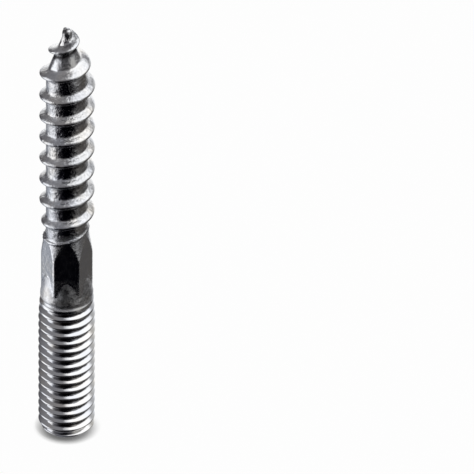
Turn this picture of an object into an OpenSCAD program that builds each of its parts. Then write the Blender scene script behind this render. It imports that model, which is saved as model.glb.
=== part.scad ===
// Hanger bolt: a coarse wood thread that runs out on a gimlet point at the top, a round stud for a machine
// thread below it, and a hexagonal grip between the two. The stud's flat end holds a six-lobe socket.
// Millimetres, +Z up, with the origin in the middle of the flat end that the bolt stands on.

/* [Stud] */
// Diameter of the stud, over the crests of its machine thread
stud_d = 6; // [5.8:0.1:10]
// Height of the stud, from the flat end to the top of its thread
stud_len = 17.2; // [8:0.1:60]
// Diameter of the flat end
end_d = 4.6; // [3.6:0.1:5.6]
// Height of the bevel round the flat end
bevel_h = 0.7; // [0.3:0.1:3]
// Height of the run-out above the stud's thread
runout_h = 0.4; // [0.2:0.1:3]

/* [Socket] */
// Width across the socket's lobes
socket_d = 2.8; // [2.3:0.05:3.4]
// Width across the ribs between the lobes
socket_rib_gap = 2.05; // [1.6:0.05:2.2]
// Radius of each rib
socket_rib_r = 0.6; // [0.4:0.05:0.7]
// Depth of the socket
socket_depth = 1.8; // [0.8:0.1:4]

/* [Grip] */
// Diameter of the round shoulder between the stud and the flats
shoulder_d = 5.74; // [5.5:0.02:5.8]
// Height over which the shoulder falls to the flats
shoulder_h = 2.2; // [1:0.1:5]
// Width across the flats
flats_w = 4.75; // [4.65:0.05:5.2]
// Diameter over the rounded corners between the flats
corners_d = 5.4; // [5.25:0.05:5.5]
// Height of the grip between the shoulder and the taper
flats_h = 2.5; // [1:0.1:20]
// Height over which the corners taper to the neck
taper_h = 2.5; // [1.5:0.1:8]
// Diameter of the neck under the wood thread
neck_d = 4.66; // [4.5:0.02:4.74]
// Height of the neck's bevel, which falls to the core
neck_bevel_h = 0.2; // [0.1:0.05:1]

/* [Wood thread] */
// Length of the wood thread, from the taper to the tip
wood_len = 25; // [15:0.1:80]
// Diameter over the crest of the wood thread
wood_d = 5.8; // [5:0.1:7]
// Diameter of the core between the crests
wood_core_d = 4.4; // [3.8:0.1:4.4]
// Rise of the wood thread in one turn
wood_pitch = 2.6; // [2:0.1:4]
// Width of the ridge where it leaves the core
ridge_base_w = 1.6; // [1:0.05:1.8]
// Width of the ridge's rounded crest
ridge_crest_w = 0.6; // [0.2:0.05:0.9]
// Height of the rounding on the crest
ridge_round_h = 0.1; // [0.02:0.02:0.2]

/* [Point] */
// Length of the tapered point
point_len = 6; // [3:0.1:10]
// Diameter of the point's round, blunt tip
tip_d = 0.8; // [0.4:0.1:2]
// Height of bare point between the end of the ridge and the round tip
tip_bare_h = 0.2; // [0.1:0.05:2]

/* [Hidden] */
$fn = 96;

zinc = [0.72, 0.74, 0.77];

// Heights at which each stretch ends, going up
runout_z = stud_len + runout_h;
flats_z = runout_z + shoulder_h;
taper_z = flats_z + flats_h;
neck_bevel_z = taper_z + taper_h;
neck_z = neck_bevel_z + neck_bevel_h;
tip_z = neck_z + wood_len;
point_z = tip_z - point_len;
round_z = tip_z - tip_d / 2;

lobe_count = 6;
// How far a cut runs past the face that it opens
cut_past = 0.5;

// The wood thread is one closed spiral skin. Its first turn is hidden in the grip, and its ridge swells
// from the neck and fades on the point over these shares of a turn.
turn_steps = 40;
first_turn = -1;
swell_turns = 0.7;
fade_turns = 0.25;
last_turn = (round_z - tip_bare_h - ridge_base_w / 2 - neck_z) / wood_pitch;
rows = round((last_turn - first_turn) * turn_steps);
ridge_h = (wood_d - wood_core_d) / 2;
// Round pieces that meet the skin from inside end just under its flat facets
facet_sink = wood_core_d / 2 * (1 - cos(180 / turn_steps)) + 0.01;
// The ridge's section: height above its middle, and share of the full ridge
crest_share = 1 - ridge_round_h / ridge_h;
ridge_section = [
    [-ridge_base_w / 2, 0],
    [-ridge_crest_w / 2, crest_share],
    [0, 1],
    [ridge_crest_w / 2, crest_share],
    [ridge_base_w / 2, 0]
];
section_steps = len(ridge_section);

function clamp(value) = max(0, min(1, value));

// Turns made at a row of the skin, counted from the neck
function row_turn(row) = first_turn + row / turn_steps;

// Radius of the skin's core at a height
function core_r(z) =
    let (taper = clamp((z - point_z) / (round_z - point_z)))
    wood_core_d / 2 * (1 - taper) + (tip_d / 2 + facet_sink) * taper;

// Share of the full ridge at a turn
function ridge_share(turn) = clamp(min(turn / swell_turns, (last_turn - turn) / fade_turns));

// Height of the ridge's middle at a turn. The turn that closes the skin rises just past the ridge's top.
function ridge_z(turn) =
    let (rise = min(turn, last_turn) * wood_pitch)
    let (closing_rise = max(0, turn - last_turn) * (ridge_base_w + tip_bare_h / 2))
    neck_z + rise + closing_rise;

// Point of the skin at a row and a place on the ridge's section
function skin_point(row, place) =
    let (turn = row_turn(row))
    let (z = ridge_z(turn) + place[0])
    let (r = core_r(z) + ridge_h * ridge_share(turn) * place[1])
    [r * cos(360 * turn), r * sin(360 * turn), z];

// Number of a point of the skin. A turn's last edge is the first edge of the turn above it.
function point_index(row, step) =
    step == section_steps ? point_index(row + turn_steps, 0) :
    row <= rows ? row * section_steps + step :
    (rows + 1) * section_steps + row - rows - 1;

// The two triangles between neighbouring points of the skin
function skin_quad(row, step) =
    let (a = point_index(row, step))
    let (b = point_index(row + 1, step))
    let (c = point_index(row + 1, step + 1))
    let (d = point_index(row, step + 1))
    [[a, c, b], [a, d, c]];

// Machine-thread stud, bevelled at its flat end and running out under the shoulder
module stud() {
    cylinder(h = bevel_h, d1 = end_d, d2 = stud_d);
    translate([0, 0, bevel_h])
        cylinder(h = stud_len - bevel_h, d = stud_d);
    translate([0, 0, stud_len])
        cylinder(h = runout_h, d1 = stud_d, d2 = shoulder_d);
}

// Round shoulder that falls to the flats, so that each flat starts in an arch
module shoulder() {
    translate([0, 0, runout_z])
        cylinder(h = shoulder_h, d1 = shoulder_d, d2 = flats_w);
}

// Hexagonal grip with rounded corners, which taper to the neck so that each flat ends in an arch
module grip() {
    intersection() {
        translate([0, 0, runout_z])
            cylinder(h = neck_z - runout_z, d = flats_w / cos(30), $fn = 6);
        union() {
            translate([0, 0, runout_z])
                cylinder(h = taper_z - runout_z, d = corners_d);
            translate([0, 0, taper_z])
                cylinder(h = taper_h, d1 = corners_d, d2 = neck_d);
            translate([0, 0, neck_bevel_z])
                cylinder(h = neck_bevel_h, d1 = neck_d, d2 = wood_core_d - 2 * facet_sink);
        }
    }
}

// Blunt point that stands out of the thread's last turn, with its foot inside the turn below
module point() {
    foot_z = ridge_z(last_turn) - wood_pitch;
    translate([0, 0, foot_z])
        cylinder(h = round_z - foot_z, r1 = core_r(foot_z) - facet_sink, r2 = tip_d / 2);
    translate([0, 0, round_z])
        sphere(d = tip_d);
}

// Wood thread: core and ridge as one spiral skin, closed at the axis below and above
module wood_thread() {
    skin = [
        for (row = [0 : rows])
            for (place = ridge_section)
                skin_point(row, place)
    ];
    last_edge = [
        for (row = [rows + 1 : rows + turn_steps])
            skin_point(row, ridge_section[0])
    ];
    low_end = len(skin) + len(last_edge);
    high_end = low_end + 1;
    points = concat(skin, last_edge, [[0, 0, skin[0][2]], [0, 0, round_z]]);
    sides = [
        for (row = [0 : rows - 1])
            for (step = [0 : section_steps - 1])
                each skin_quad(row, step)
    ];
    low_cap = [
        for (row = [0 : turn_steps - 1])
            [low_end, point_index(row, 0), point_index(row + 1, 0)]
    ];
    low_step = [
        for (step = [0 : section_steps - 1])
            [low_end, point_index(0, step + 1), point_index(0, step)]
    ];
    high_cap = [
        for (row = [rows : rows + turn_steps - 1])
            [high_end, point_index(row + 1, 0), point_index(row, 0)]
    ];
    high_step = [
        for (step = [0 : section_steps - 1])
            [high_end, point_index(rows, step), point_index(rows, step + 1)]
    ];
    polyhedron(points, concat(sides, low_cap, low_step, high_cap, high_step));
}

// Six-lobe socket: a round recess with ribs that stand in between its lobes
module socket() {
    translate([0, 0, -cut_past])
        linear_extrude(cut_past + socket_depth)
            difference() {
                circle(d = socket_d);
                for (rib = [0 : lobe_count - 1])
                    rotate(360 / lobe_count * (rib + 0.5))
                        translate([socket_rib_gap / 2 + socket_rib_r, 0])
                            circle(r = socket_rib_r);
            }
}

module hanger_bolt() {
    color(zinc)
        difference() {
            union() {
                stud();
                shoulder();
                grip();
                wood_thread();
                point();
            }
            socket();
        }
}

hanger_bolt();
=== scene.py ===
import math

import bpy
import numpy as np
from mathutils import Matrix, Vector


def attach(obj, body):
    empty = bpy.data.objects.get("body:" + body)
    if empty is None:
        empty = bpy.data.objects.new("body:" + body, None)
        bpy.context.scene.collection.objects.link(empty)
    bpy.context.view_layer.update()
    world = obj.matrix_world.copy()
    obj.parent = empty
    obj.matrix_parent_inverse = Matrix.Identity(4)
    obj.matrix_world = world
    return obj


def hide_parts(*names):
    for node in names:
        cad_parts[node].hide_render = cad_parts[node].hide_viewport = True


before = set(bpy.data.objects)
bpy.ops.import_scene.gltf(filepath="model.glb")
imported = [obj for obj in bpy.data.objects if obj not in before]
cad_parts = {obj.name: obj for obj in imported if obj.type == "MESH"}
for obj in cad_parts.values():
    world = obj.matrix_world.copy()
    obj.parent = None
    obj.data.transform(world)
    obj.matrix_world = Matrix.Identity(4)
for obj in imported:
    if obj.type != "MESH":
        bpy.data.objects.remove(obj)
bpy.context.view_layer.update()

MM = 0.001
TAU = 2 * math.pi

# Sizes of the bolt in millimetres that the part's source has too
STUD_R = 3.0
END_R = 2.3
BEVEL_H = 0.7
FLATS_R = 2.375
CORNER_R = 2.7
TAPER_Z = 22.3
NECK_R = 2.33
NECK_Z = 24.8
WOOD_Z = 25.0
WOOD_PITCH = 2.6
CORE_R = 2.2
RIDGE_H = 0.7
TIP_Z = 50.0
SOCKET_R = 1.4
SOCKET_RIB_R = 0.6
SOCKET_RIB_AT = 1.625
SOCKET_DEPTH = 1.8
SIDES = 6

# Shoulder, fitted to the photo
SHOULDER_R = 2.79
SHOULDER_Z = 17.2
FLATS_Z = 19.85

# Machine thread: its section, the heights and radii at which its crests sink, and where its grooves fade
THREAD_PITCH = 1.0
THREAD_PHASE = -0.44
THREAD_CREST = 0.1
THREAD_ROOT = 0.05
THREAD_TILT = math.radians(53)
RUNOUT_Z = (14.3, 15.3, 16.3, SHOULDER_Z)
RUNOUT_R = (STUD_R, 2.93, 2.86, SHOULDER_R)
GROOVES_FADE = (16.1, SHOULDER_Z)

# Burrs that were pressed up where the flats run out on the shoulder and on the taper
SHOULDER_BURR_H = 0.0396
SHOULDER_BURR_W = 0.017
TAPER_BURR_H = 0.022
TAPER_BURR_W = 0.012

# Slanting edge at which the neck ends: its fall to the core, and a burr just under it
NECK_EDGE_Z = 24.95
NECK_EDGE_SLANT = 0.62
NECK_EDGE_FALL = (-0.12, 0.02)
NECK_BURR_H = 0.15
NECK_BURR_W = 0.13
NECK_BURR_BELOW = 0.11

# Wood ridge: its section, and half its width where it meets the core
RIDGE_CREST = 0.24
RIDGE_FOOT = 0.24
RIDGE_TILT = math.radians(57)
RIDGE_ARCS = RIDGE_CREST + RIDGE_FOOT
RIDGE_STRAIGHT = RIDGE_H - RIDGE_ARCS * (1 - math.cos(RIDGE_TILT))
RIDGE_HALF = RIDGE_ARCS * math.sin(RIDGE_TILT) + RIDGE_STRAIGHT / math.tan(RIDGE_TILT)
# The ridge swells from the neck, grows on the point, and gets thin and fades at the knob
WOOD_TURNS = 10
SHARE_TURNS = (0, 0.7, 6.8, 7.4, 8.0, 8.5, 9.0, 9.45)
SHARES = (0, 1, 1, 1.14, 1.16, 1.22, 0.98, 0)
THIN_TURNS = (8.2, 9.0)
THIN_WIDTHS = (1, 0.6)

# Point: its taper, the turn from which the pitch grows, and the blunt knob at the tip with its squareness
POINT_Z = 44.5
POINT_SLOPE = 0.37
POINT_TURN = 7
POINT_STRETCH = 0.22
KNOB_Z = 49.35
KNOB_R = 0.52
KNOB_POWER = 3

# Widths over which neighbouring forms are rounded into each other
BEVEL_BLEND = 0.06
RUNOUT_BLEND = 0.04
FLATS_BLEND = 0.03
NECK_BLEND = 0.05
POINT_BLEND = 0.4
KNOB_BLEND = 0.08
SOCKET_BLEND = 0.12
# The neck and the wood thread are joined between these heights
JOIN_Z = (23.3, 26.6)

# Dents: seeded waves round and along the bolt, their depth on the stud, and what the wood thread and the tip
# add to it
DENT_SEED = 11
DENT_WAVES = 60
DENT_AROUND = 21
DENT_UPWARD = 7
DENT_STUD = 0.006
DENT_WOOD = 0.008
DENT_TIP = 0.02
DENT_WOOD_Z = (24.0, 25.5)
DENT_TIP_Z = (48.0, 49.2)
DENTS_START = (0, 0.5)
DENTS_END = (49.0, 49.5)

# The skin is one spiral sheet that climbs along both threads: turn, height and rise per turn where its rise
# changes
SHEET_KNOTS = (
    (-1, -1.0, THREAD_PITCH),
    (17, 17.0, THREAD_PITCH),
    (23, 24.35, WOOD_PITCH),
    (32, 47.75, WOOD_PITCH),
    (33.5, TIP_Z, 0.6),
)
ROWS_PER_TURN = 24
SEGMENTS = 108
ANGLES = TAU * np.arange(SEGMENTS) / SEGMENTS
# What the sheet has up to this height falls together into the rim of the flat end
RIM_REACH = 0.025
# The mesh lists the rim, then the tip, then the sheet
TIP_INDEX = SEGMENTS
SHEET_INDEX = SEGMENTS + 1

# Flat end from the rim inwards: shares of the rim and of the socket's outline
END_RINGS = ((0.98, 0), (0.65, 0.35), (0.25, 0.75))
# Socket from its mouth to its floor: share of the outline, offset from it, height
SOCKET_RINGS = (
    (1, 0.1, 0),
    (1, 0.03, 0.02),
    (1, 0, 0.1),
    (1, 0, 0.6),
    (1, 0, 1.1),
    (1, -0.01, 1.6),
    (1, -0.08, 1.75),
    (0.8, 0, SOCKET_DEPTH),
    (0.4, 0, SOCKET_DEPTH + 0.03),
)
SOCKET_MIDDLE = SOCKET_DEPTH + 0.05


def smooth_step(low, high, x):
    """Soft step from 0 at the low value to 1 at the high one."""
    t = np.clip((x - low) / (high - low), 0, 1)
    return t * t * (3 - 2 * t)


def between(start, end, x):
    """Soft step up over the start and down again over the end."""
    return smooth_step(*start, x) * (1 - smooth_step(*end, x))


def bell(x, width):
    """Bell curve with the height 1."""
    return np.exp(-((x / width) ** 2))


def soft_max(a, b, width):
    """The larger of two values, rounded where they meet."""
    near = np.maximum(width - np.abs(a - b), 0) / width
    return np.maximum(a, b) + near * near * width / 4


def soft_min(a, b, width):
    """The smaller of two values, rounded where they meet."""
    return -soft_max(-a, -b, width)


def from_side(theta):
    """Angle from the middle of the nearest of the six sides."""
    return np.mod(theta, TAU / SIDES) - TAU / SIDES / 2


def thread_drop(off, half, crest, foot, tilt):
    """How far a thread's skin lies under its crest: a crest arc, a straight flank and a foot arc."""
    crest_w = crest * math.sin(tilt)
    foot_w = foot * math.sin(tilt)
    top = crest - np.sqrt(np.maximum(crest**2 - np.minimum(off, crest_w) ** 2, 0))
    flank = np.clip(off - crest_w, 0, half - crest_w - foot_w) * math.tan(tilt)
    rest = np.clip(half - off, 0, foot_w)
    low = np.sqrt(foot**2 - rest**2) - foot * math.cos(tilt)
    return top + flank + low


def stud_radius(theta, z):
    """Machine thread, bevelled at the flat end and running out under the shoulder."""
    turns = z / THREAD_PITCH - theta / TAU - THREAD_PHASE
    off = np.abs(turns - np.round(turns)) * THREAD_PITCH
    thread = STUD_R - thread_drop(off, THREAD_PITCH / 2, THREAD_CREST, THREAD_ROOT, THREAD_TILT)
    bevel = END_R + z * (STUD_R - END_R) / BEVEL_H
    thread = soft_min(thread, bevel, BEVEL_BLEND)
    thread = soft_min(thread, np.interp(z, RUNOUT_Z, RUNOUT_R), RUNOUT_BLEND)
    plain = smooth_step(*GROOVES_FADE, z)
    return thread * (1 - plain) + SHOULDER_R * plain


def shoulder_radius(z):
    """Round shoulder that falls to the flats."""
    fall = (SHOULDER_R - FLATS_R) / (FLATS_Z - SHOULDER_Z)
    return SHOULDER_R - fall * np.maximum(z - SHOULDER_Z, 0)


def flats_radius(theta):
    """The six flats of the grip."""
    return FLATS_R / np.cos(from_side(theta))


def grip_radius(theta, z):
    """Hexagonal grip whose flats end in arches on the shoulder and on the taper."""
    flats = flats_radius(theta)
    shoulder = shoulder_radius(z)
    taper = CORNER_R - (CORNER_R - NECK_R) * (z - TAPER_Z) / (NECK_Z - TAPER_Z)
    taper = np.minimum(taper, CORNER_R)
    grip = soft_max(soft_min(flats, taper, FLATS_BLEND), shoulder, FLATS_BLEND)
    low_burr = SHOULDER_BURR_H * bell(flats - shoulder, SHOULDER_BURR_W)
    high_burr = TAPER_BURR_H * bell(flats - taper, TAPER_BURR_W)
    return grip + np.maximum(low_burr, high_burr)


def core_radius(z):
    """Core of the wood thread, its tapered point and the blunt knob at the tip."""
    taper = CORE_R - POINT_SLOPE * (z - POINT_Z)
    core = soft_min(CORE_R, taper, POINT_BLEND)
    rise = np.abs(z - KNOB_Z) / (TIP_Z - KNOB_Z)
    knob = KNOB_R * np.maximum(1 - rise**KNOB_POWER, 0) ** (1 / KNOB_POWER)
    return np.where(z > KNOB_Z, knob, soft_max(core, knob, KNOB_BLEND))


def ridge_middle(turn):
    """Height of the wood ridge's crest, with a longer pitch on the point."""
    return WOOD_Z + WOOD_PITCH * turn + POINT_STRETCH * np.maximum(turn - POINT_TURN, 0)


def ridge_height(theta, z):
    """How far the wood ridge stands out of the core."""
    height = np.zeros_like(z)
    for whole_turns in range(WOOD_TURNS):
        turn = whole_turns + theta / TAU
        share = np.interp(turn, SHARE_TURNS, SHARES)
        width = np.interp(turn, THIN_TURNS, THIN_WIDTHS)
        off = np.abs(z - ridge_middle(turn)) / width
        drop = thread_drop(off, RIDGE_HALF, RIDGE_CREST, RIDGE_FOOT, RIDGE_TILT)
        height = np.maximum(height, share * (RIDGE_H - drop))
    return height


def bolt_radius(theta, z):
    """Radius of the bolt at an angle and a height, without its dents."""
    lower = np.where(z < SHOULDER_Z, stud_radius(theta, z), grip_radius(theta, z))
    over_edge = z - NECK_EDGE_Z - NECK_EDGE_SLANT * np.cos(theta)
    burr = NECK_BURR_H * bell(over_edge + NECK_BURR_BELOW, NECK_BURR_W)
    bare = smooth_step(*NECK_EDGE_FALL, over_edge)
    lower = (lower + burr) * (1 - bare) + CORE_R * bare
    upper = core_radius(z) + ridge_height(theta, z)
    joined = soft_max(upper, lower, NECK_BLEND)
    return np.where(z < JOIN_Z[0], lower, np.where(z > JOIN_Z[1], upper, joined))


def dents(theta, z):
    """Small seeded unevenness that closes on itself round the bolt."""
    rng = np.random.default_rng(DENT_SEED)
    waves = np.zeros_like(z)
    for _ in range(DENT_WAVES):
        around = rng.integers(0, DENT_AROUND)
        upward = rng.normal(0, DENT_UPWARD)
        waves += np.cos(around * theta + upward * z + rng.uniform(0, TAU))
    return waves / math.sqrt(DENT_WAVES)


def skin_radius(theta, z):
    """Radius of the bolt with its dents, which stay clear of the flat end and the tip."""
    depth = DENT_STUD + DENT_WOOD * smooth_step(*DENT_WOOD_Z, z) + DENT_TIP * smooth_step(*DENT_TIP_Z, z)
    clear = between(DENTS_START, DENTS_END, z)
    dented = bolt_radius(theta, z) - np.abs(dents(theta, z)) * depth * clear
    return np.minimum(dented, STUD_R)


def socket_radius(theta):
    """Six-lobe outline of the socket."""
    across = from_side(theta)
    reach = SOCKET_RIB_R**2 - (SOCKET_RIB_AT * np.sin(across)) ** 2
    rib = SOCKET_RIB_AT * np.cos(across) - np.sqrt(np.maximum(reach, 0))
    return np.where(reach > 0, soft_min(rib, SOCKET_R, SOCKET_BLEND), SOCKET_R)


# Zones of the finish go by height in millimetres, and by the side of the bolt, from -1 at the left to 1 at
# the right. The finish of the wood thread sets in here
WOOD_START = (24.4, 25.2)
# Distance from a flat, and width and start of the arches that end the flats
FLAT_NEAR = (0.05, 0.0)
ARCH_WIDTH = 0.02
ARCH_START = (17.6, 18.0)

# Scuffs: on the flat end, on the stud, what the grip adds, on the wood core, and what is polished off the
# ridge, which is less on its left, and off the bare point
SCUFF_END = 0.2
SCUFF_STUD = 0.08
SCUFF_GRIP = 0.42
SCUFF_GRIP_START = (17.0, 17.8)
SCUFF_CORE = 1.1
POLISH_RIDGE = 0.75
POLISH_RIDGE_LEFT = 0.25
LEFT_SIDE = (0.1, -0.5)
POLISH_POINT = 0.7
POLISH_POINT_START = (45.0, 46.0)

# Haze: more on the shoulder, less on the flats and the arches, and some on the bare point and the knob
HAZE_START = (16.0, 16.8)
HAZE_END = (25.3, 25.9)
HAZE_SHOULDER = 0.7
HAZE_SHOULDER_END = (19.6, 20.4)
CLEAR_FLAT = 0.5
CLEAR_ARCH = 0.85
HAZE_POINT = 0.7
HAZE_POINT_START = (45.2, 46.0)
HAZE_POINT_END = (48.0, 48.6)
HAZE_KNOB = 0.9
HAZE_KNOB_START = (48.9, 49.3)

# Painted shade in the grooves of the machine thread, by their depth and not on the left
GROOVE_DEPTH = (0.34, 0.46)
GROOVE_START = (0.8, 1.4)
GROOVE_END = (15.8, 16.6)
GROOVE_SIDE = (-0.55, -0.2)
# Painted shade on the wood core and more of it under each ridge, not on the left, and all round under the
# last turns
CORE_SHADE = 0.15
CORE_SIDE = (-0.45, 0.1)
CORE_END = (44.3, 45.3)
UNDER_RIDGE_SHADE = 0.45
UNDER_RIDGE = 0.75
UNDER_WIDTH = 0.32
LAST_TURNS = (7.9, 8.3)
# Darker flanks of the last turn
FLANK_DARKENING = 0.55
FLANK_FOOT = (0.02, 0.12)
FLANK_CREST = (0.62, 0.85)
FLANK_START = (47.9, 48.5)
# Painted shade on the shoulder, not on the left
SHOULDER_SHADE = 0.42
SHOULDER_SHADE_START = (17.0, 17.5)
SHOULDER_SHADE_END = (18.9, 19.6)
SHOULDER_SIDE = (-0.5, 0.0)
# Thin darkening on the ridges
RIDGE_DARKENING = 0.08
RIDGE_DARKENING_FOOT = (0.15, 0.5)


def on_ridge(theta, z):
    """Place on the wood thread, from 0 on the core to 1 on the full ridge's crest."""
    return np.clip(ridge_height(theta, z) / RIDGE_H, 0, 1)


def on_flat(theta, z):
    """1 on the flats of the grip."""
    return smooth_step(*FLAT_NEAR, np.abs(bolt_radius(theta, z) - flats_radius(theta)))


def on_arch(theta, z):
    """1 on the arches in which the flats end on the shoulder."""
    return bell(flats_radius(theta) - shoulder_radius(z), ARCH_WIDTH) * smooth_step(*ARCH_START, z)


def scuff_marks(theta, z):
    """Roughness that rolling and handling left."""
    wood = smooth_step(*WOOD_START, z)
    ridge = on_ridge(theta, z)
    left = smooth_step(*LEFT_SIDE, np.cos(theta))
    grip = SCUFF_GRIP * smooth_step(*SCUFF_GRIP_START, z) * (1 - wood)
    polish = (POLISH_RIDGE + (POLISH_RIDGE_LEFT - POLISH_RIDGE) * left) * ridge
    polish += POLISH_POINT * (1 - ridge) * smooth_step(*POLISH_POINT_START, z)
    return SCUFF_STUD + grip + wood * (SCUFF_CORE - polish)


def haze_marks(theta, z):
    """Forged metal that scatters the light."""
    shoulder = HAZE_SHOULDER * (1 - smooth_step(*HAZE_SHOULDER_END, z))
    grip = between(HAZE_START, HAZE_END, z) * (1 + shoulder)
    grip *= (1 - CLEAR_FLAT * on_flat(theta, z)) * (1 - CLEAR_ARCH * on_arch(theta, z))
    point = HAZE_POINT * between(HAZE_POINT_START, HAZE_POINT_END, z) * (1 - on_ridge(theta, z))
    return grip + point + HAZE_KNOB * smooth_step(*HAZE_KNOB_START, z)


def painted_shade_marks(theta, z, radius):
    """Painted shade in grooves, on the core, under ridges and on the shoulder, and darker ridges."""
    side = np.cos(theta)
    wood = smooth_step(*WOOD_START, z)
    ridge = on_ridge(theta, z)
    painted_shade = smooth_step(*GROOVE_DEPTH, STUD_R - radius) * between(GROOVE_START, GROOVE_END, z)
    painted_shade *= smooth_step(*GROOVE_SIDE, side)
    core = smooth_step(*CORE_SIDE, side) * wood * (1 - ridge) * (1 - smooth_step(*CORE_END, z))
    painted_shade += CORE_SHADE * core
    for whole_turns in range(1, WOOD_TURNS):
        turn = whole_turns + theta / TAU
        under = bell(z - ridge_middle(turn) + UNDER_RIDGE, UNDER_WIDTH)
        painted_shade += (UNDER_RIDGE_SHADE * core + smooth_step(*LAST_TURNS, turn)) * under
    painted_shade += FLANK_DARKENING * between(FLANK_FOOT, FLANK_CREST, ridge) * smooth_step(*FLANK_START, z)
    shoulder = between(SHOULDER_SHADE_START, SHOULDER_SHADE_END, z)
    shoulder *= (1 - on_flat(theta, z)) * (1 - on_arch(theta, z))
    painted_shade += SHOULDER_SHADE * shoulder * smooth_step(*SHOULDER_SIDE, side)
    painted_shade += RIDGE_DARKENING * wood * smooth_step(*RIDGE_DARKENING_FOOT, ridge)
    return np.clip(painted_shade, 0, 1)


def sheet_height(turn):
    """Height of the spiral sheet at a turn, smooth between its knots."""
    z = np.zeros_like(turn)
    for (turn0, z0, rise0), (turn1, z1, rise1) in zip(SHEET_KNOTS, SHEET_KNOTS[1:]):
        span = turn1 - turn0
        t = np.clip((turn - turn0) / span, 0, 1)
        curve = (
            (2 * t**3 - 3 * t**2 + 1) * z0
            + (t**3 - 2 * t**2 + t) * span * rise0
            + (3 * t**2 - 2 * t**3) * z1
            + (t**3 - t**2) * span * rise1
        )
        z = np.where(turn >= turn0, curve, z)
    return z


def spiral_sheet():
    """Angles and heights of the sheet's points, and its faces between the rim, these points and the tip."""
    first_turn = SHEET_KNOTS[0][0]
    last_turn = SHEET_KNOTS[-1][0]
    rows = round((last_turn - first_turn) * ROWS_PER_TURN) + 1
    row_turn = first_turn + np.arange(rows)[:, None] / ROWS_PER_TURN
    turn = row_turn + ANGLES / TAU
    theta = np.broadcast_to(ANGLES, turn.shape)
    z = sheet_height(turn)
    at_rim = z <= RIM_REACH
    half_row = 0.5 / ROWS_PER_TURN
    at_tip = turn > last_turn - half_row
    free = ~(at_rim | at_tip)
    index = np.where(at_rim, np.arange(SEGMENTS), TIP_INDEX)
    index[free] = SHEET_INDEX + np.arange(free.sum())
    # Each row goes on in the row that is one turn further up
    onward = np.full((rows, 1), TIP_INDEX)
    onward[:-ROWS_PER_TURN, 0] = index[ROWS_PER_TURN:, 0]
    grid = np.hstack([index, onward])
    quads = np.stack([grid[:-1, :-1], grid[:-1, 1:], grid[1:, 1:], grid[1:, :-1]], -1)
    return theta[free], z[free], quads.reshape(-1, 4)


def end_rings():
    """Rings of the flat end and of the socket, from the rim inwards: radius and height."""
    star = socket_radius(ANGLES)
    flat = [(rim * END_R + lobes * star, 0) for rim, lobes in END_RINGS]
    return flat + [(share * star + offset, height) for share, offset, height in SOCKET_RINGS]


def places(theta, radius, z):
    """Points at angles, radii and heights."""
    return np.column_stack([radius * np.cos(theta), radius * np.sin(theta), np.broadcast_to(z, theta.shape)])


def ring_quads(outer, inner):
    """Faces between a ring of points and the next ring inside it."""
    return np.stack([outer, inner, np.roll(inner, -1), np.roll(outer, -1)], -1)


def clean_faces(quads):
    """Faces without doubled corners, which lie along the rim, at the tip and in the socket's middle."""
    faces = []
    for quad in quads.tolist():
        face = [quad[i] for i in range(4) if quad[i] != quad[i - 1]]
        if len(face) > 2 and len(set(face)) == len(face):
            faces.append(face)
    return faces


def set_marks(mesh, name, elsewhere, marks):
    """Gives the sheet's points their marks, and all other points one value."""
    values = np.full(len(mesh.vertices), elsewhere, np.float32)
    values[SHEET_INDEX : SHEET_INDEX + len(marks)] = marks
    mesh.attributes.new(name, "FLOAT", "POINT").data.foreach_set("value", values)


def make_bolt():
    """One skin: the spiral sheet, the flat end and the socket."""
    theta, z, sheet_quads = spiral_sheet()
    radius = skin_radius(theta, z)
    points = [places(ANGLES, END_R, 0), [(0, 0, TIP_Z)], places(theta, radius, z)]
    quads = [sheet_quads]
    count = SHEET_INDEX + len(z)
    outer = np.arange(SEGMENTS)
    for ring_radius, ring_z in end_rings():
        inner = count + np.arange(SEGMENTS)
        points.append(places(ANGLES, ring_radius, ring_z))
        quads.append(ring_quads(outer, inner))
        outer = inner
        count += SEGMENTS
    points.append([(0, 0, SOCKET_MIDDLE)])
    quads.append(ring_quads(outer, np.full(SEGMENTS, count)))

    mesh = bpy.data.meshes.new("hanger_bolt_skin")
    mesh.from_pydata((np.vstack(points) * MM).tolist(), [], clean_faces(np.vstack(quads)))
    mesh.shade_smooth()
    set_marks(mesh, "scuff", SCUFF_END, scuff_marks(theta, z))
    set_marks(mesh, "haze", 0, haze_marks(theta, z))
    # Painted shade as a colour mark on the sheet's points
    set_marks(mesh, "painted_shade", 0, painted_shade_marks(theta, z, radius))
    bolt = bpy.data.objects.new("hanger_bolt_skin", mesh)
    bpy.context.scene.collection.objects.link(bolt)
    return bolt


def add(tree, kind, sockets=None, **fields):
    """Adds a node, sets its fields, and links or sets its sockets."""
    node = tree.nodes.new(kind)
    for name, value in fields.items():
        setattr(node, name, value)
    for key, value in (sockets or {}).items():
        if isinstance(value, bpy.types.NodeSocket):
            tree.links.new(value, node.inputs[key])
        else:
            node.inputs[key].default_value = value
    return node


def new_tree(owner):
    """Empty node tree of a material or a world."""
    owner.use_nodes = True
    owner.node_tree.nodes.clear()
    return owner.node_tree


def calculate(tree, operation, *values, clamp=False):
    """Result of one step of arithmetic."""
    node = add(tree, "ShaderNodeMath", dict(enumerate(values)), operation=operation, use_clamp=clamp)
    return node.outputs["Value"]


def stretch(tree, value, source, target=(0.0, 1.0), kind="LINEAR"):
    """Carries a value from one range over to another, and keeps it inside."""
    sockets = {"Value": value, 1: source[0], 2: source[1], 3: target[0], 4: target[1]}
    return add(tree, "ShaderNodeMapRange", sockets, interpolation_type=kind).outputs["Result"]


def mix_colours(tree, share, first, second):
    """First colour at a share of 0, second one at 1."""
    node = add(tree, "ShaderNodeMix", {"Factor": share, 6: first, 7: second}, data_type="RGBA")
    return node.outputs[2]


def noise(tree, place, scale, detail, roughness):
    """Soft noise, with its scale in steps per metre."""
    sockets = {"Vector": place, "Scale": scale, "Detail": detail, "Roughness": roughness}
    return add(tree, "ShaderNodeTexNoise", sockets).outputs["Fac"]


def read_marks(tree, name):
    """Marks that the mesh carries at its points."""
    return add(tree, "ShaderNodeAttribute", attribute_name=name).outputs["Fac"]


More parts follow.
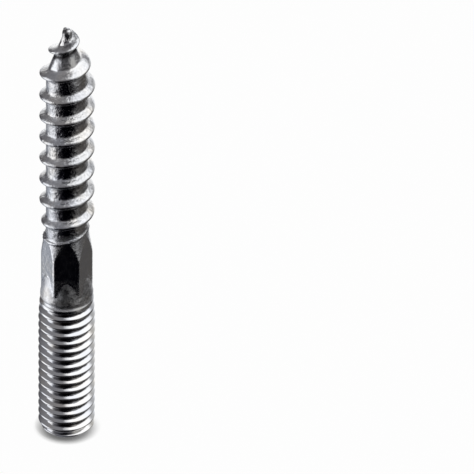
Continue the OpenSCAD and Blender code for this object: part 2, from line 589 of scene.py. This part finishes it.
def colour_ramp(tree, share, stops):
    """Colour by a share, between stops of a place and a colour."""
    node = add(tree, "ShaderNodeValToRGB", {"Fac": share})
    elements = node.color_ramp.elements
    elements.remove(elements[-1])
    elements[0].position = stops[0][0]
    elements[0].color = stops[0][1]
    for position, colour in stops[1:]:
        elements.new(position).color = colour
    return node.outputs["Color"]


# Cloudy blue and yellow cast of the passivated zinc, and the colour of the painted shade on it
ZINC_TINTS = (
    (0.3, (0.68, 0.70, 0.75, 1)),
    (0.5, (0.76, 0.77, 0.79, 1)),
    (0.7, (0.82, 0.80, 0.77, 1)),
)
SHADE_COLOUR = (0.04, 0.038, 0.04, 1)
# Range of the noise in which flecks of the painted shade come and go
FLECK_RANGE = (0.35, 0.65)
# Roughness of the metal from polished to scuffed, and what haze adds in patches, with the ranges that call
# for them
SCUFF_RANGE = (0.0, 0.6)
SCUFF_ROUGHNESS = (0.03, 0.1)
PATCH_RANGE = (0.3, 0.7)
PATCH_ROUGHNESS = (0.1, 0.3)
# Height of the grain, in metres
GRAIN_H = 0.000085


def zinc_colour(tree, place):
    """Clouded zinc darkened by painted shade, which lies in flecks where it is thin."""
    cloud = noise(tree, place, scale=450.0, detail=3.0, roughness=0.5)
    zinc = colour_ramp(tree, cloud, ZINC_TINTS)
    # Painted shade that darkens the zinc's colour
    painted_shade = read_marks(tree, "painted_shade")
    fleck = noise(tree, place, scale=3800.0, detail=2.0, roughness=0.6)
    swing = stretch(tree, fleck, FLECK_RANGE, (-1.0, 1.0))
    bare = calculate(tree, "SUBTRACT", 1.0, painted_shade)
    thin = calculate(tree, "MULTIPLY", painted_shade, bare)
    cover = calculate(tree, "MULTIPLY_ADD", swing, thin, painted_shade, clamp=True)
    return mix_colours(tree, cover, zinc, SHADE_COLOUR)


def zinc_material():
    """Zinc-plated steel, grained where it is scuffed and dull where it is hazy."""
    mat = bpy.data.materials.new("zinc_plated_steel")
    tree = new_tree(mat)
    place = add(tree, "ShaderNodeTexCoord").outputs["Object"]
    scuff = read_marks(tree, "scuff")
    grain = noise(tree, place, scale=2300.0, detail=4.0, roughness=0.6)
    dull = calculate(tree, "MULTIPLY", grain, scuff)
    polish = stretch(tree, dull, SCUFF_RANGE, SCUFF_ROUGHNESS)
    patch = noise(tree, place, scale=2200.0, detail=3.0, roughness=0.65)
    scatter = stretch(tree, patch, PATCH_RANGE, PATCH_ROUGHNESS)
    bump = add(tree, "ShaderNodeBump", {"Strength": scuff, "Distance": GRAIN_H, "Height": grain})
    sockets = {
        "Base Color": zinc_colour(tree, place),
        "Metallic": 1.0,
        "Roughness": calculate(tree, "MULTIPLY_ADD", scatter, read_marks(tree, "haze"), polish),
        "Normal": bump.outputs["Normal"],
    }
    metal = add(tree, "ShaderNodeBsdfPrincipled", sockets)
    add(tree, "ShaderNodeOutputMaterial", {"Surface": metal.outputs["BSDF"]})
    return mat


# Soft lights and dark cards that the metal mirrors, in the order in which each covers the ones before it:
# azimuth from the camera's side with the right at 90, elevation, angles of the even middle and of the faded
# edge, the same angles across an upright strip, colour
STUDIO_LIGHTS = (
    (-12, 30, 4, 24, None, (0.09, 0.088, 0.092, 1)),
    (85, 24, 12, 36, None, (0.55, 0.54, 0.53, 1)),
    (80, 58, 26, 49, None, (1.30, 1.30, 1.30, 1)),
    (62, 65, 11, 38, None, (1.30, 1.30, 1.30, 1)),
    (46, 3, 10, 34, None, (0.50, 0.495, 0.48, 1)),
    (124, 10, 10, 27, None, (0.62, 0.615, 0.60, 1)),
    (-92, -7, 24, 49, (12, 29), (1.33, 1.34, 1.37, 1)),
    (168, -6, 18, 46, None, (1.20, 1.20, 1.20, 1)),
    (-135, -48, 10, 35, None, (0.36, 0.38, 0.42, 1)),
    (92, -36, 20, 45, None, (0.094, 0.088, 0.083, 1)),
    (-11, -40, 41, 55, None, (0.0, 0.0, 0.001, 1)),
    (-58, -32, 4, 20, None, (0.07, 0.067, 0.08, 1)),
    (-68, -11, 9, 21, None, (0.90, 0.90, 0.93, 1)),
)
# The room behind them, from low to high, and the upward share of a direction between which it changes
STUDIO_LOW = (0.06, 0.056, 0.062, 1)
STUDIO_HIGH = (0.24, 0.235, 0.245, 1)
STUDIO_RISE = (-0.2, 0.7)


def light_share(tree, direction, axis, angle_of, inner, outer):
    """Share of a light by the angle from its middle, or from the plane of its strip."""
    along = add(tree, "ShaderNodeVectorMath", {0: direction, 1: axis}, operation="DOT_PRODUCT")
    angle = calculate(tree, "ABSOLUTE", calculate(tree, angle_of, along.outputs["Value"]))
    return stretch(tree, angle, (math.radians(outer), math.radians(inner)), kind="SMOOTHSTEP")


def studio_world():
    """Soft studio in the metal's reflections, and plain white for all else."""
    world = bpy.data.worlds.new("studio")
    bpy.context.scene.world = world
    tree = new_tree(world)
    direction = add(tree, "ShaderNodeTexCoord").outputs["Generated"]
    upward = add(tree, "ShaderNodeSeparateXYZ", {"Vector": direction}).outputs["Z"]
    rise = stretch(tree, upward, STUDIO_RISE, kind="SMOOTHSTEP")
    room = mix_colours(tree, rise, STUDIO_LOW, STUDIO_HIGH)
    for azimuth, elevation, inner, outer, strip, colour in STUDIO_LIGHTS:
        turned = math.radians(azimuth)
        raised = math.radians(elevation)
        level = math.cos(raised)
        middle = (level * math.sin(turned), -level * math.cos(turned), math.sin(raised))
        share = light_share(tree, direction, middle, "ARCCOSINE", inner, outer)
        if strip:
            across = (math.cos(turned), math.sin(turned), 0)
            in_strip = light_share(tree, direction, across, "ARCSINE", *strip)
            share = calculate(tree, "MULTIPLY", share, in_strip)
        room = mix_colours(tree, share, room, colour)

    glossy = add(tree, "ShaderNodeLightPath").outputs["Is Glossy Ray"]
    plain = add(tree, "ShaderNodeBackground", {"Color": (1, 1, 1, 1)}).outputs["Background"]
    mirrored = add(tree, "ShaderNodeBackground", {"Color": room}).outputs["Background"]
    choose = add(tree, "ShaderNodeMixShader", {"Fac": glossy, 1: plain, 2: mirrored})
    add(tree, "ShaderNodeOutputWorld", {"Surface": choose.outputs["Shader"]})


# Floor, in metres: the contact shadow's reach and strength, and the side that its light comes from, which is
# behind the bolt and a little to the right
FLOOR_HALF = 0.6
FLOOR_WHITE = (0.985, 0.985, 0.985, 1)
PAPER = (0.9, 0.9, 0.9, 1)
SHADOW_REACH = 0.00105
SHADOW_POWER = 1.45
SHADOW_LIGHT = (0.2, 0.86, 0.47)


def floor_material():
    """White paper that shows the camera a close contact shadow."""
    mat = bpy.data.materials.new("floor_paper")
    tree = new_tree(mat)
    light = add(tree, "ShaderNodeCombineXYZ", dict(enumerate(SHADOW_LIGHT)))
    sockets = {"Distance": SHADOW_REACH, "Normal": light.outputs["Vector"]}
    near = add(tree, "ShaderNodeAmbientOcclusion", sockets, samples=16)
    shade = calculate(tree, "POWER", near.outputs["AO"], SHADOW_POWER)
    white = add(tree, "ShaderNodeEmission", {"Color": FLOOR_WHITE, "Strength": shade}).outputs["Emission"]
    paper = add(tree, "ShaderNodeBsdfDiffuse", {"Color": PAPER}).outputs["BSDF"]
    seen = add(tree, "ShaderNodeLightPath").outputs["Is Camera Ray"]
    choose = add(tree, "ShaderNodeMixShader", {"Fac": seen, 1: paper, 2: white})
    add(tree, "ShaderNodeOutputMaterial", {"Surface": choose.outputs["Shader"]})
    return mat


def make_floor():
    """Floor that the metal doesn't mirror."""
    corners = [(x * FLOOR_HALF, y * FLOOR_HALF, 0) for x, y in ((-1, -1), (1, -1), (1, 1), (-1, 1))]
    mesh = bpy.data.meshes.new("floor")
    mesh.from_pydata(corners, [], [(0, 1, 2, 3)])
    mesh.materials.append(floor_material())
    floor = bpy.data.objects.new("floor", mesh)
    bpy.context.scene.collection.objects.link(floor)
    floor.visible_glossy = False


# Camera with a long lens far away, turned so that the bolt lies where the photo has it: millimetres for the
# lens and its sensor, metres for the distances
LENS = 800.0
SENSOR = 36.0
CAMERA_DISTANCE = 1.1
CAMERA_CLIP = (0.05, 10.0)
CAMERA_ELEVATION = math.radians(34.2)
CAMERA_YAW = math.radians(-0.9252)
CAMERA_PITCH = math.radians(-0.0397)
CAMERA_ROLL = math.radians(0.1)


def make_camera():
    """Camera at the photo's viewing angle."""
    data = bpy.data.cameras.new("camera")
    data.sensor_width = SENSOR
    data.lens = LENS
    data.clip_start, data.clip_end = CAMERA_CLIP
    camera = bpy.data.objects.new("camera", data)
    bpy.context.scene.collection.objects.link(camera)
    away = Vector((0, -math.cos(CAMERA_ELEVATION), math.sin(CAMERA_ELEVATION)))
    bolt_middle = Vector((0, 0, TIP_Z / 2 * MM))
    aim = (-away).to_track_quat("-Z", "Y").to_matrix()
    yaw = Matrix.Rotation(CAMERA_YAW, 3, "Y")
    pitch = Matrix.Rotation(CAMERA_PITCH, 3, "X")
    roll = Matrix.Rotation(CAMERA_ROLL, 3, "Z")
    place = Matrix.Translation(bolt_middle + away * CAMERA_DISTANCE)
    camera.matrix_world = place @ (aim @ yaw @ pitch @ roll).to_4x4()
    bpy.context.scene.camera = camera


make_camera()
bolt = make_bolt()
bolt.data.materials.append(zinc_material())
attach(bolt, "root")
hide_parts("hanger_bolt")
make_floor()
studio_world()
bpy.context.scene.view_settings.view_transform = "Standard"
